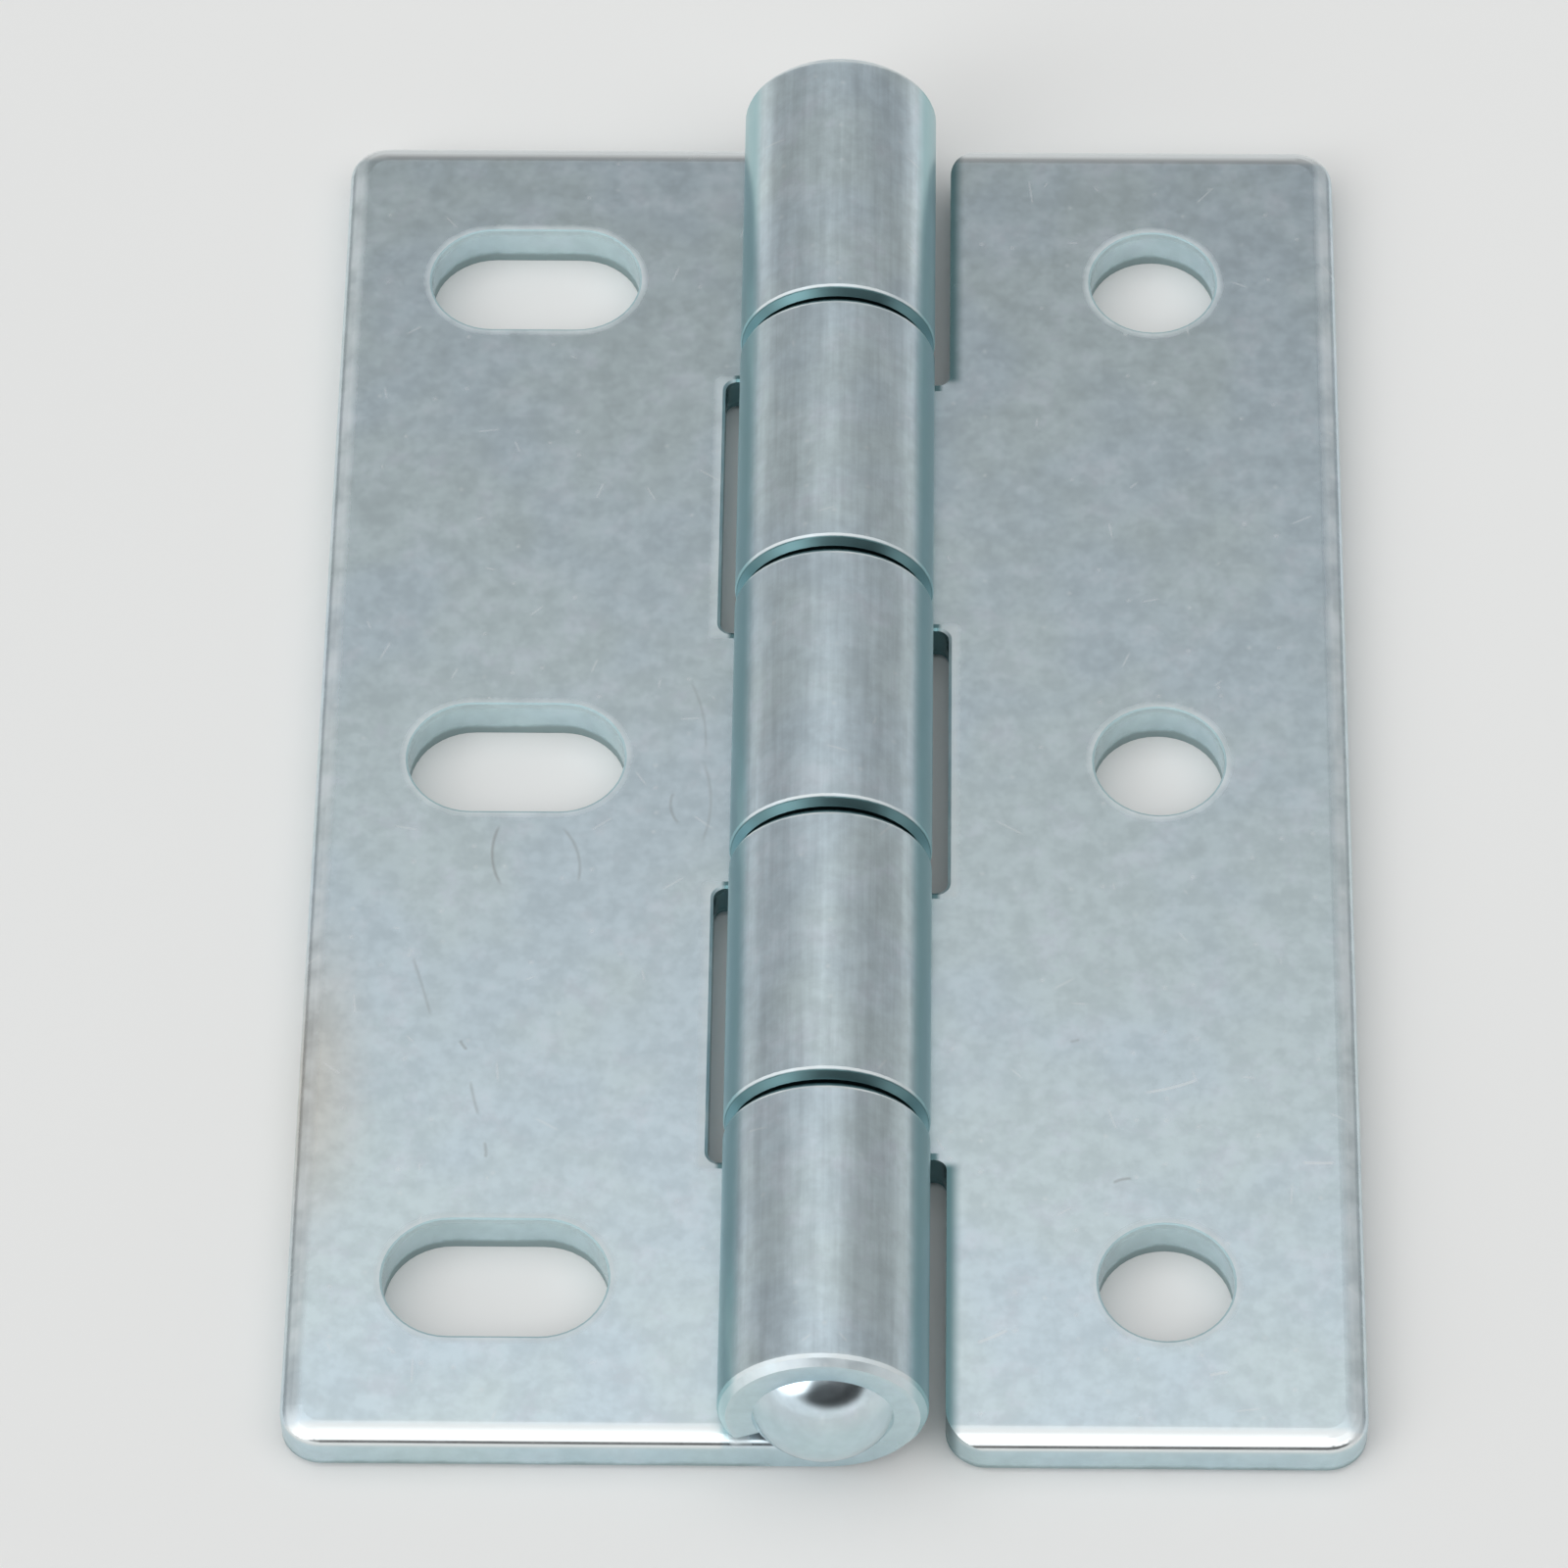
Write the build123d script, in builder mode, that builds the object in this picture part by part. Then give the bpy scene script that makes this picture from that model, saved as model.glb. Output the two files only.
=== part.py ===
from build123d import *
import os
from math import isclose

# Cabinet butt hinge lying open flat: two blanked steel leaves, their knuckles rolled round one headed pin.
# X runs across the leaves, Y along the pin and Z up from the mounting plane. The slotted leaf is on -X.
# The origin is on the mounting plane, under the middle of the pin.

# Leaf blanks, in millimetres
leaf_length = 80.0
leaf_reach = 26.1  # pin axis to the outer edge of a leaf
sheet_thickness = 2.5
outer_corner_radius = 2.0
free_corner_radius = 2.0  # inner end corners that stand clear of the barrel
notch_corner_radius = 0.6
notch_clearance = 0.8  # barrel surface to the edge of a notch
roll_over_width = 0.85  # slope that blanking leaves along the upper edges
roll_over_drop = 0.31
roll_over_blend = 1.5  # radius from the flat face into the slope
brink_radius = 0.5  # radius from the slope into the cut edge
eased_edge = 0.4  # lower edges, and the rims of the knuckles that they run up into
eased_brow = 0.12  # second easing, from the surface into the first
notch_rim_width = 0.15  # slope along the upper edges of a notch
notch_rim_drop = 0.08

# Screw holes
screw_hole_diameter = 6.6
slot_length = 11.0
end_hole_margin = 9.2  # end of a leaf to the centre of its last hole
round_hole_margin = 9.6  # outer edge of a leaf to its line of round holes
slot_margin = 10.1  # outer edge of a leaf to the middles of its slots
hole_rim_width = 0.1  # slope that punching leaves round each hole, on the upper face
hole_rim_drop = 0.04

# Pin and knuckles
pin_diameter = 5.0
pin_clearance = 0.05  # running clearance all round the pin
head_overhang = 0.9  # head beyond the shank, all round
head_height = 1.8
knuckle_count = 5
knuckle_gap = 0.2
roll_wrap = 296.0  # degrees of roll, from under the pin up and over it

# Sizes that follow
pin_radius = pin_diameter / 2
bore_radius = pin_radius + pin_clearance
barrel_radius = bore_radius + sheet_thickness
head_radius = pin_radius + head_overhang
notch_edge = barrel_radius + notch_clearance
knuckle_pitch = leaf_length / knuckle_count
leaf_end = leaf_length / 2
hole_pitch = leaf_end - end_hole_margin
hole_rows = (-hole_pitch, 0, hole_pitch)

# The knuckles alternate along the barrel, and the slotted leaf has both ends
slotted_knuckles = range(0, knuckle_count, 2)
round_hole_knuckles = range(1, knuckle_count, 2)


def pitch_ends(index):
    """Where the stretch of barrel given to one knuckle starts and ends."""
    start = index * knuckle_pitch - leaf_end
    return start, start + knuckle_pitch


def knuckle_ends(index):
    """Where a knuckle starts and ends: flush with the leaf at its ends, half a gap short elsewhere."""
    start, end = pitch_ends(index)
    if index > 0:
        start += knuckle_gap / 2
    if index < knuckle_count - 1:
        end -= knuckle_gap / 2
    return start, end


def plate_outline(side):
    """Plan of one leaf from the pin axis to its outer edge, before it is notched."""
    with BuildSketch() as plate:
        with Locations((side * leaf_reach / 2, 0)):
            Rectangle(leaf_reach, leaf_length)
        fillet(plate.vertices().filter_by(lambda v: isclose(abs(v.X), leaf_reach)), outer_corner_radius)
    return plate.sketch


def notch_plan(notches):
    """Plan of the notches that clear the other leaf's knuckles."""
    with BuildSketch() as plan:
        for index in notches:
            start, end = pitch_ends(index)
            with Locations((0, (start + end) / 2)):
                Rectangle(2 * notch_edge, end - start + knuckle_gap)
        fillet(plan.vertices(), notch_corner_radius)
    return plan.sketch


def end_notch_plan():
    """Plan of the notches at both ends of a leaf, carried out past the ends so that they round the free corners."""
    with BuildSketch() as plan:
        for index, outward in ((0, -1), (knuckle_count - 1, 1)):
            start, end = pitch_ends(index)
            with Locations((0, (start + end) / 2)):
                Rectangle(2 * notch_edge, end - start + knuckle_gap)
            with Locations((0, outward * (leaf_end + free_corner_radius))):
                Rectangle(2 * notch_edge + 4 * free_corner_radius, 2 * free_corner_radius)
        corners = plan.vertices().filter_by(lambda v: isclose(abs(v.X), notch_edge))
        fillet(corners.filter_by(lambda v: isclose(abs(v.Y), leaf_end)), free_corner_radius)
        inner = plan.vertices().filter_by(lambda v: abs(v.Y) < leaf_end - knuckle_pitch / 2)
        fillet(inner, notch_corner_radius)
    return plan.sketch


def roll_section(side, y):
    """Section of a knuckle: the sheet comes in under the pin, goes up the far side and over, and stops short."""
    with BuildSketch(Plane.XZ.offset(-y)) as section:
        with BuildLine():
            outer = CenterArc((0, barrel_radius), barrel_radius, -90, -side * roll_wrap)
            inner = CenterArc((0, barrel_radius), bore_radius, -90, -side * roll_wrap)
            Line(outer @ 0, inner @ 0)
            Line(outer @ 1, inner @ 1)
        make_face()
    return section.sketch


def off_axis(edges):
    """The edges that don't lie over the pin axis, where the flat sheet runs on into a roll."""
    return edges.filter_by(lambda e: not isclose(e.center().X, 0, abs_tol=1e-6))


def rims(leaf):
    """The end edges of a leaf's knuckles, on their outer surface."""
    rings = leaf.edges().filter_by(GeomType.CIRCLE)
    return rings.filter_by(lambda e: isclose(e.radius, barrel_radius))


def at_height(shapes, z):
    """The faces or edges whose middles lie at one height."""
    return shapes.filter_by(lambda s: isclose(s.center().Z, z, abs_tol=1e-5))


def slope_cut_edges(leaf, width, drop):
    """Slopes the upper edges of what was just cut out of a leaf."""
    upper = at_height(leaf.faces().filter_by(Axis.Z), sheet_thickness)[0]
    cut = at_height(leaf.edges(Select.LAST), sheet_thickness)
    chamfer(off_axis(cut), width, drop, reference=upper)


def blank_plate(leaf, side):
    """Blanks one leaf, with the roll-over that this leaves along its upper edges."""
    extrude(plate_outline(side), amount=sheet_thickness)
    upper = leaf.faces().sort_by(Axis.Z)[-1]
    chamfer(off_axis(upper.edges()), roll_over_width, roll_over_drop, reference=upper)
    flat = leaf.faces().sort_by(Axis.Z)[-1]
    fillet(off_axis(flat.edges()), roll_over_blend)
    brink = at_height(leaf.edges(), sheet_thickness - roll_over_drop)
    fillet(off_axis(brink), brink_radius)


def form_knuckles(leaf, side, knuckles, notches):
    """Notches one leaf, rolls its knuckles, and eases its lower edges and the rims that they run up into."""
    extrude(notch_plan(notches), amount=sheet_thickness, mode=Mode.SUBTRACT)
    slope_cut_edges(leaf, notch_rim_width, notch_rim_drop)
    for index in knuckles:
        start, end = knuckle_ends(index)
        extrude(roll_section(side, start), amount=end - start, dir=(0, 1, 0))
    chamfer(off_axis(at_height(leaf.edges(), 0)) + rims(leaf), eased_edge)
    chamfer(rims(leaf), eased_brow)


# Left leaf: the end and middle knuckles, and slots across the leaf
with BuildPart() as slotted_leaf:
    blank_plate(slotted_leaf, -1)
    form_knuckles(slotted_leaf, -1, slotted_knuckles, round_hole_knuckles)
    with BuildSketch():
        with Locations(*[(slot_margin - leaf_reach, y) for y in hole_rows]):
            SlotOverall(slot_length, screw_hole_diameter)
    extrude(amount=sheet_thickness, mode=Mode.SUBTRACT)
    slope_cut_edges(slotted_leaf, hole_rim_width, hole_rim_drop)

# Right leaf: the knuckles between, and round holes
with BuildPart() as round_hole_leaf:
    blank_plate(round_hole_leaf, 1)
    extrude(end_notch_plan(), amount=sheet_thickness, mode=Mode.SUBTRACT)
    form_knuckles(round_hole_leaf, 1, round_hole_knuckles, slotted_knuckles[1:-1])
    with Locations(*[(leaf_reach - round_hole_margin, y, sheet_thickness) for y in hole_rows]):
        Hole(screw_hole_diameter / 2, depth=sheet_thickness)
    slope_cut_edges(round_hole_leaf, hole_rim_width, hole_rim_drop)

# Pin: a shank through every knuckle, with a domed head seated on each end of the barrel
with BuildPart() as hinge_pin:
    with BuildSketch(Plane.XY.offset(barrel_radius)):
        with BuildLine():
            crown = (0, leaf_end + head_height)
            rim = (head_radius, leaf_end)
            Line((0, 0), crown)
            TangentArc(crown, rim, tangent=(1, 0))
            Polyline(rim, (pin_radius, leaf_end), (pin_radius, 0), (0, 0))
        make_face()
    revolve(axis=Axis((0, 0, barrel_radius), (0, 1, 0)))
    mirror(about=Plane.XZ)

slotted_leaf.part.label = "slotted_leaf"
round_hole_leaf.part.label = "round_hole_leaf"
hinge_pin.part.label = "hinge_pin"

os.makedirs("parts", exist_ok=True)
export_step(slotted_leaf.part, "parts/slotted_leaf.step")
export_step(round_hole_leaf.part, "parts/round_hole_leaf.step")
export_step(hinge_pin.part, "parts/hinge_pin.step")
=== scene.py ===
import logging
import math
from dataclasses import dataclass, field
from enum import Enum

import bpy
from mathutils import Matrix, Vector


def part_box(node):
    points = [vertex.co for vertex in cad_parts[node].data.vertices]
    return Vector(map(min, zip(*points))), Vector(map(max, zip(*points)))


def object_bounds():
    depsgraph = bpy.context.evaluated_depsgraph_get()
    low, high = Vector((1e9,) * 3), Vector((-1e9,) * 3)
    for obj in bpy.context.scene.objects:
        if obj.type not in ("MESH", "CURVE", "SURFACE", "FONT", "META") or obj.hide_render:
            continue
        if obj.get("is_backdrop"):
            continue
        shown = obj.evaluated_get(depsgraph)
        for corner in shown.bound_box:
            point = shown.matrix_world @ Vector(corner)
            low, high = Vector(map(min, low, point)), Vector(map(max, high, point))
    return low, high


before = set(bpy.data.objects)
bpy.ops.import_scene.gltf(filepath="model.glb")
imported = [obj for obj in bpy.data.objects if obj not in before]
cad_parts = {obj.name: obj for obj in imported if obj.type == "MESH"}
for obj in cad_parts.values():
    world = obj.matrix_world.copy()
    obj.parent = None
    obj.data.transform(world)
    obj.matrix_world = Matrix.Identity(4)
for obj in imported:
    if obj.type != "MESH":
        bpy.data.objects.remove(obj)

CAD_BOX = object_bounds()
LOG = logging.getLogger("cabinet_hinge")
MM = 0.001

Socket = bpy.types.NodeSocket
Feed = Socket | float | tuple
Colour = tuple[float, float, float]
Point = tuple[float, float]
Direction = tuple[float, float, float]
Span = tuple[float, float]  # a lower and an upper limit
Band = tuple[float, float]  # where something starts to show, and where it is full

NOISE_MIDDLE = 0.5
UPRIGHT: Band = (0.5, 0.2)  # the part of the normal that points up, on faces that stand on edge


class MarkTone(Enum):
    """Whether a mark in the plating shows darker or lighter than the zinc round it."""

    DARK = "dark"
    LIGHT = "light"


class PatchEffect(Enum):
    """Whether a patch of sky adds light, or dims what is there."""

    ADDS = "adds"
    DIMS = "dims"


def inward(edge: float, band: Band) -> Band:
    """Places a band that is measured back from an edge."""
    return edge - band[0], edge - band[1]


def outward(edge: float, band: Band) -> Band:
    """Places a band that is measured on from an edge."""
    return edge + band[0], edge + band[1]


def shared(size: float, band: Band) -> Band:
    """Places a band that is given as shares of a size."""
    return size * band[0], size * band[1]


class NodeBoard:
    """A node tree with short ways to add nodes and join them."""

    def __init__(self, tree: bpy.types.NodeTree) -> None:
        """Empties the tree and keeps it.

        Args:
            tree: The material's or world's own node tree.
        """
        self.tree = tree
        tree.nodes.clear()

    def add(self, kind: str, **settings: object) -> bpy.types.Node:
        """Adds one node.

        Args:
            kind: The node's type name, without the ShaderNode in front.
            **settings: Attributes to set on the node.

        Returns:
            The new node.
        """
        node = self.tree.nodes.new("ShaderNode" + kind)
        for name, value in settings.items():
            setattr(node, name, value)
        return node

    def feed(self, socket: Socket, value: Feed) -> None:
        """Links an output to an input, or sets the input's own value.

        Args:
            socket: The input.
            value: An output socket, a number, or the parts of a vector or colour.
        """
        if isinstance(value, Socket):
            self.tree.links.new(value, socket)
        elif isinstance(value, tuple) and len(value) == 3 and socket.type == "RGBA":
            socket.default_value = (*value, 1.0)
        else:
            socket.default_value = value

    def math(self, operation: str, *values: Feed) -> Socket:
        """Adds a Math node.

        Args:
            operation: Its operation.
            *values: What goes into its inputs, in order.

        Returns:
            The node's output.
        """
        node = self.add("Math", operation=operation)
        for socket, value in zip(node.inputs, values):
            self.feed(socket, value)
        return node.outputs[0]

    def product(self, first: Feed, *others: Feed) -> Socket:
        """Multiplies several numbers.

        Args:
            first: The first of them.
            *others: The rest.

        Returns:
            Their product.
        """
        for other in others:
            first = self.math("MULTIPLY", first, other)
        return first

    def strongest(self, first: Feed, *others: Feed) -> Socket:
        """Takes the largest of several numbers.

        Args:
            first: The first of them.
            *others: The rest.

        Returns:
            The largest.
        """
        for other in others:
            first = self.math("MAXIMUM", first, other)
        return first

    def size(self, value: Feed) -> Socket:
        """Takes a number without its sign."""
        return self.math("ABSOLUTE", value)

    def vector(self, operation: str, *values: Feed) -> Socket:
        """Adds a Vector Math node.

        Args:
            operation: Its operation.
            *values: What goes into its vector inputs, in order. For SCALE the second is the factor.

        Returns:
            The output that the operation fills.
        """
        node = self.add("VectorMath", operation=operation)
        sockets = [node.inputs[0], node.inputs["Scale"]] if operation == "SCALE" else node.inputs
        for socket, value in zip(sockets, values):
            self.feed(socket, value)
        gives_number = operation in ("DISTANCE", "DOT_PRODUCT")
        return node.outputs["Value" if gives_number else "Vector"]

    def parts(self, vector: Feed) -> tuple[Socket, ...]:
        """Splits a vector.

        Args:
            vector: The vector to split.

        Returns:
            Its x, y and z outputs.
        """
        node = self.add("SeparateXYZ")
        self.feed(node.inputs[0], vector)
        return tuple(node.outputs)

    def fade(self, value: Feed, band: Band, low: float = 0.0, high: float = 1.0) -> Socket:
        """Eases from one number to another as a value crosses a band.

        Args:
            value: What is measured.
            band: Where the result is low, and where it is high. The second may be below the first.
            low: The result at the start of the band.
            high: The result at its end.

        Returns:
            The eased number.
        """
        node = self.add("MapRange", interpolation_type="SMOOTHSTEP", clamp=True)
        for socket, number in zip(node.inputs, (value, *band, low, high)):
            self.feed(socket, number)
        return node.outputs[0]

    def mix(self, share: Feed, first: Feed, second: Feed) -> Socket:
        """Mixes two colours.

        Args:
            share: How much of the second shows.
            first: The colour underneath.
            second: The colour on top.

        Returns:
            The mixed colour.
        """
        node = self.add("Mix", data_type="RGBA")
        self.feed(node.inputs[0], share)
        self.feed(node.inputs[6], first)
        self.feed(node.inputs[7], second)
        return node.outputs[2]

    def noise(self, where: Feed, scale: float, detail: float = 2.0, rough: float = 0.5) -> Socket:
        """Adds a noise that changes smoothly from place to place.

        Args:
            where: The coordinates.
            scale: Blotches in each unit of length.
            detail: How many finer layers it has.
            rough: How strong the finer layers are.

        Returns:
            The noise, about 0.5 on average.
        """
        node = self.add("TexNoise")
        self.feed(node.inputs["Vector"], where)
        self.feed(node.inputs["Scale"], scale)
        self.feed(node.inputs["Detail"], detail)
        self.feed(node.inputs["Roughness"], rough)
        return node.outputs[0]

    def cells(self, plan: Feed, spacing: float) -> bpy.types.Node:
        """Divides a flat plan into cells about random points.

        Args:
            plan: Place seen from above.
            spacing: About how far apart the points are.

        Returns:
            The node, with each cell's Distance, Color and Position.
        """
        node = self.add("TexVoronoi", voronoi_dimensions="2D")
        self.feed(node.inputs["Vector"], plan)
        self.feed(node.inputs["Scale"], 1 / spacing)
        return node

    def bump(self, height: Feed, depth: float) -> Socket:
        """Adds a relief.

        Args:
            height: The relief, from 0 to 1.
            depth: How deep it is, in metres.

        Returns:
            The changed normal.
        """
        node = self.add("Bump")
        self.feed(node.inputs["Height"], height)
        self.feed(node.inputs["Distance"], depth)
        return node.outputs[0]


@dataclass(frozen=True)
class Surface:
    """What a finish reads at each point of a piece. Lengths are in millimetres.

    place is where the point lies, plan is the same seen from above, and off is how far it lies from
    the middle planes and the mounting plane. facing is the piece's own normal, tilt is the same
    without signs, upright says whether the face stands on edge, and cloud is a blotchy noise.
    """

    board: NodeBoard
    place: Socket
    plan: Socket
    off: tuple[Socket, ...]
    facing: tuple[Socket, ...]
    tilt: tuple[Socket, ...]
    upright: Socket
    cloud: Socket

    @classmethod
    def read(cls, board: NodeBoard) -> "Surface":
        """Adds the nodes that read a piece's own coordinates and normal.

        Args:
            board: The material's nodes.

        Returns:
            The readings.
        """
        coordinates = board.add("TexCoord")
        place = board.vector("SCALE", coordinates.outputs["Object"], 1 / MM)
        facing = board.parts(coordinates.outputs["Normal"])
        tilt = tuple(board.size(part) for part in facing)
        return cls(
            board=board,
            place=place,
            plan=board.vector("MULTIPLY", place, (1.0, 1.0, 0.0)),
            off=tuple(board.size(part) for part in board.parts(place)),
            facing=facing,
            tilt=tilt,
            upright=board.fade(tilt[2], UPRIGHT),
            cloud=board.noise(place, scale=0.4, detail=4.0, rough=0.65),
        )


@dataclass(frozen=True)
class HingeForm:
    """The sizes of the hinge that its finish follows, in millimetres."""

    barrel_radius: float = 5.05
    leaf_top: float = 2.5
    leaf_end: float = 40.0
    leaf_reach: float = 26.1
    knuckle_pitch: float = 16.0
    notch_edge: float = 5.85


@dataclass(frozen=True)
class HairMark:
    """A fine curved line in the plating, through three points in millimetres."""

    start: Point
    middle: Point
    end: Point
    width: float = 0.14
    strength: float = 0.5
    tone: MarkTone = MarkTone.DARK
    solid_share: float = 0.7

    def circle(self) -> tuple[Vector, float]:
        """Finds the circle through the three points.

        Returns:
            Its centre and radius, in millimetres.
        """
        (ax, ay), (bx, by), (cx, cy) = self.start, self.middle, self.end
        turn = 2 * (ax * (by - cy) + bx * (cy - ay) + cx * (ay - by))
        a, b, c = ax * ax + ay * ay, bx * bx + by * by, cx * cx + cy * cy
        x = (a * (by - cy) + b * (cy - ay) + c * (ay - by)) / turn
        y = (a * (cx - bx) + b * (ax - cx) + c * (bx - ax)) / turn
        return Vector((x, y, 0.0)), math.hypot(ax - x, ay - y)

    def draw(self, board: NodeBoard, plan: Socket) -> Socket:
        """Adds the nodes of the mark.

        Args:
            board: The material's nodes.
            plan: Place on the leaf seen from above, in millimetres.

        Returns:
            How strongly the mark shows, from 0 to its strength.
        """
        centre, radius = self.circle()
        reach = math.dist(self.start, self.end) / 2
        off_line = board.math("SUBTRACT", board.vector("DISTANCE", plan, tuple(centre)), radius)
        line = board.fade(board.size(off_line), (self.width, 0.0), 0.0, self.strength)
        from_middle = board.vector("DISTANCE", plan, (*self.middle, 0.0))
        return board.product(line, board.fade(from_middle, (reach, reach * self.solid_share)))


@dataclass(frozen=True)
class ScratchField:
    """Short straight scratches scattered over a surface, each turned its own way, in millimetres."""

    spacing: float
    length: float
    width: float
    share: float
    strength: float
    shortest: float = 0.15
    spread: float = 0.35
    taper: float = 0.2

    def draw(self, board: NodeBoard, plan: Socket) -> Socket:
        """Adds the nodes of the scratches.

        Args:
            board: The material's nodes.
            plan: Place on the piece seen from above, in millimetres.

        Returns:
            How strongly a scratch shows, from 0 to the field's strength.
        """
        cells = board.cells(plan, self.spacing)
        chance = board.parts(cells.outputs["Color"])
        turn = board.add("VectorRotate", rotation_type="Z_AXIS")
        board.feed(turn.inputs["Vector"], board.vector("SUBTRACT", plan, cells.outputs["Position"]))
        board.feed(turn.inputs["Angle"], board.math("MULTIPLY", chance[0], math.pi))
        along, across, _ = board.parts(turn.outputs[0])
        reach = board.math(
            "MULTIPLY_ADD", chance[1], self.length * self.spread, self.length * self.shortest
        )
        ends = board.math("SUBTRACT", reach, board.size(along))
        return board.product(
            board.fade(ends, (0.0, self.length * self.taper)),
            board.fade(board.size(across), (self.width, 0.0)),
            board.math("LESS_THAN", chance[2], self.share),
            self.strength,
        )


@dataclass(frozen=True)
class SpeckField:
    """Small pale specks scattered over a surface. Lengths are in millimetres."""

    spacing: float = 1.5
    radius: float = 0.2
    share: float = 0.2
    strong_share: float = 0.1
    strength: float = 0.28

    def draw(self, board: NodeBoard, plan: Socket) -> Socket:
        """Adds the nodes of the specks.

        Args:
            board: The material's nodes.
            plan: Place on the piece seen from above, in millimetres.

        Returns:
            How strongly a speck shows, from 0 to the field's strength.
        """
        cells = board.cells(plan, self.spacing)
        spot = board.fade(
            cells.outputs["Distance"], (self.radius / self.spacing, 0.0), 0.0, self.strength
        )
        chance = board.parts(cells.outputs["Color"])[0]
        return board.product(spot, board.fade(chance, (self.share, self.strong_share)))


@dataclass(frozen=True)
class WarmStain:
    """A warm stain in the plating, drawn out along the leaf. Lengths are in millimetres."""

    centre: Point
    radius: float
    colour: Colour = (0.68, 0.68, 0.645)
    squeeze: float = 0.3

    def lay(self, surface: Surface, tint: Socket) -> Socket:
        """Lays the stain over a tint.

        Args:
            surface: What the finish reads.
            tint: The tint underneath.

        Returns:
            The stained tint.
        """
        board = surface.board
        x, y = self.centre
        squeezed = board.vector("MULTIPLY", surface.plan, (1.0, self.squeeze, 0.0))
        far = board.vector("DISTANCE", squeezed, (x, y * self.squeeze, 0.0))
        return board.mix(board.fade(far, (self.radius, 0.0)), tint, self.colour)


@dataclass(frozen=True)
class HoleRow:
    """Three screw holes in line along a leaf, drawn out across it where they are slots, in millimetres."""

    centre: float
    straight: float = 0.0
    radius: float = 3.3
    pitch: float = 30.8

    def beyond(self, surface: Surface) -> Socket:
        """Measures how far a place lies outside the nearest hole.

        Args:
            surface: What the finish reads.

        Returns:
            The distance from the hole's rim, in millimetres.
        """
        board = surface.board
        off_row = board.size(board.math("SUBTRACT", surface.off[1], self.pitch / 2))
        along = board.math("SUBTRACT", off_row, self.pitch / 2)
        across = board.size(board.math("SUBTRACT", board.parts(surface.place)[0], self.centre))
        across = board.strongest(board.math("SUBTRACT", across, self.straight / 2), 0.0)
        squares = board.math("MULTIPLY_ADD", across, across, board.math("MULTIPLY", along, along))
        return board.math("SUBTRACT", board.math("SQRT", squares), self.radius)


@dataclass(frozen=True)
class OpenPlating:
    """The colour of open plating: drifting tints, cloud, fine mottling, and grain along the barrel."""

    blue_grey: Colour = (0.650, 0.760, 0.825)
    green_grey: Colour = (0.665, 0.770, 0.800)
    violet_grey: Colour = (0.685, 0.755, 0.820)
    drift_scale: float = 0.11
    drift_band: Band = (0.38, 0.62)
    violet_band: Band = (0.48, 0.72)
    violet_share: float = 0.7
    blotch_band: Band = (0.3, 0.7)
    cloud_shades: Span = (0.97, 1.02)
    mottle_scale: float = 0.95
    mottle_shades: Span = (0.93, 1.06)
    grain_stretch: tuple[float, float, float] = (1.8, 0.1, 1.8)
    grain_depth: float = 0.45
    grain_height: Band = (0.3, 1.0)
    grain_tilt: Band = (0.5, 0.2)

    def draw(self, surface: Surface, form: HingeForm, stain: WarmStain | None) -> Socket:
        """Adds the nodes of the colour.

        Args:
            surface: What the finish reads.
            form: The hinge's sizes.
            stain: A warm stain in the tint, where there is one.

        Returns:
            The colour.
        """
        board, place = surface.board, surface.place
        drift = board.noise(place, scale=self.drift_scale, rough=0.6)
        tint = board.mix(board.fade(drift, self.drift_band), self.blue_grey, self.green_grey)
        violet = board.fade(surface.cloud, self.violet_band, 0.0, self.violet_share)
        tint = board.mix(violet, tint, self.violet_grey)
        if stain is not None:
            tint = stain.lay(surface, tint)
        mottle = board.noise(place, scale=self.mottle_scale, detail=3.0, rough=0.6)
        for blotches, shades in ((surface.cloud, self.cloud_shades), (mottle, self.mottle_shades)):
            tint = board.vector("SCALE", tint, board.fade(blotches, self.blotch_band, *shades))
        drawn_out = board.vector("MULTIPLY", place, self.grain_stretch)
        grain = board.noise(drawn_out, scale=1.0, detail=3.0, rough=0.6)
        grain = board.math("SUBTRACT", grain, NOISE_MIDDLE)
        depth = board.product(
            board.fade(surface.off[2], outward(form.leaf_top, self.grain_height), 0.0, self.grain_depth),
            board.fade(surface.tilt[1], self.grain_tilt),
        )
        return board.vector("SCALE", tint, board.math("MULTIPLY_ADD", grain, depth, 1.0))


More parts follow.
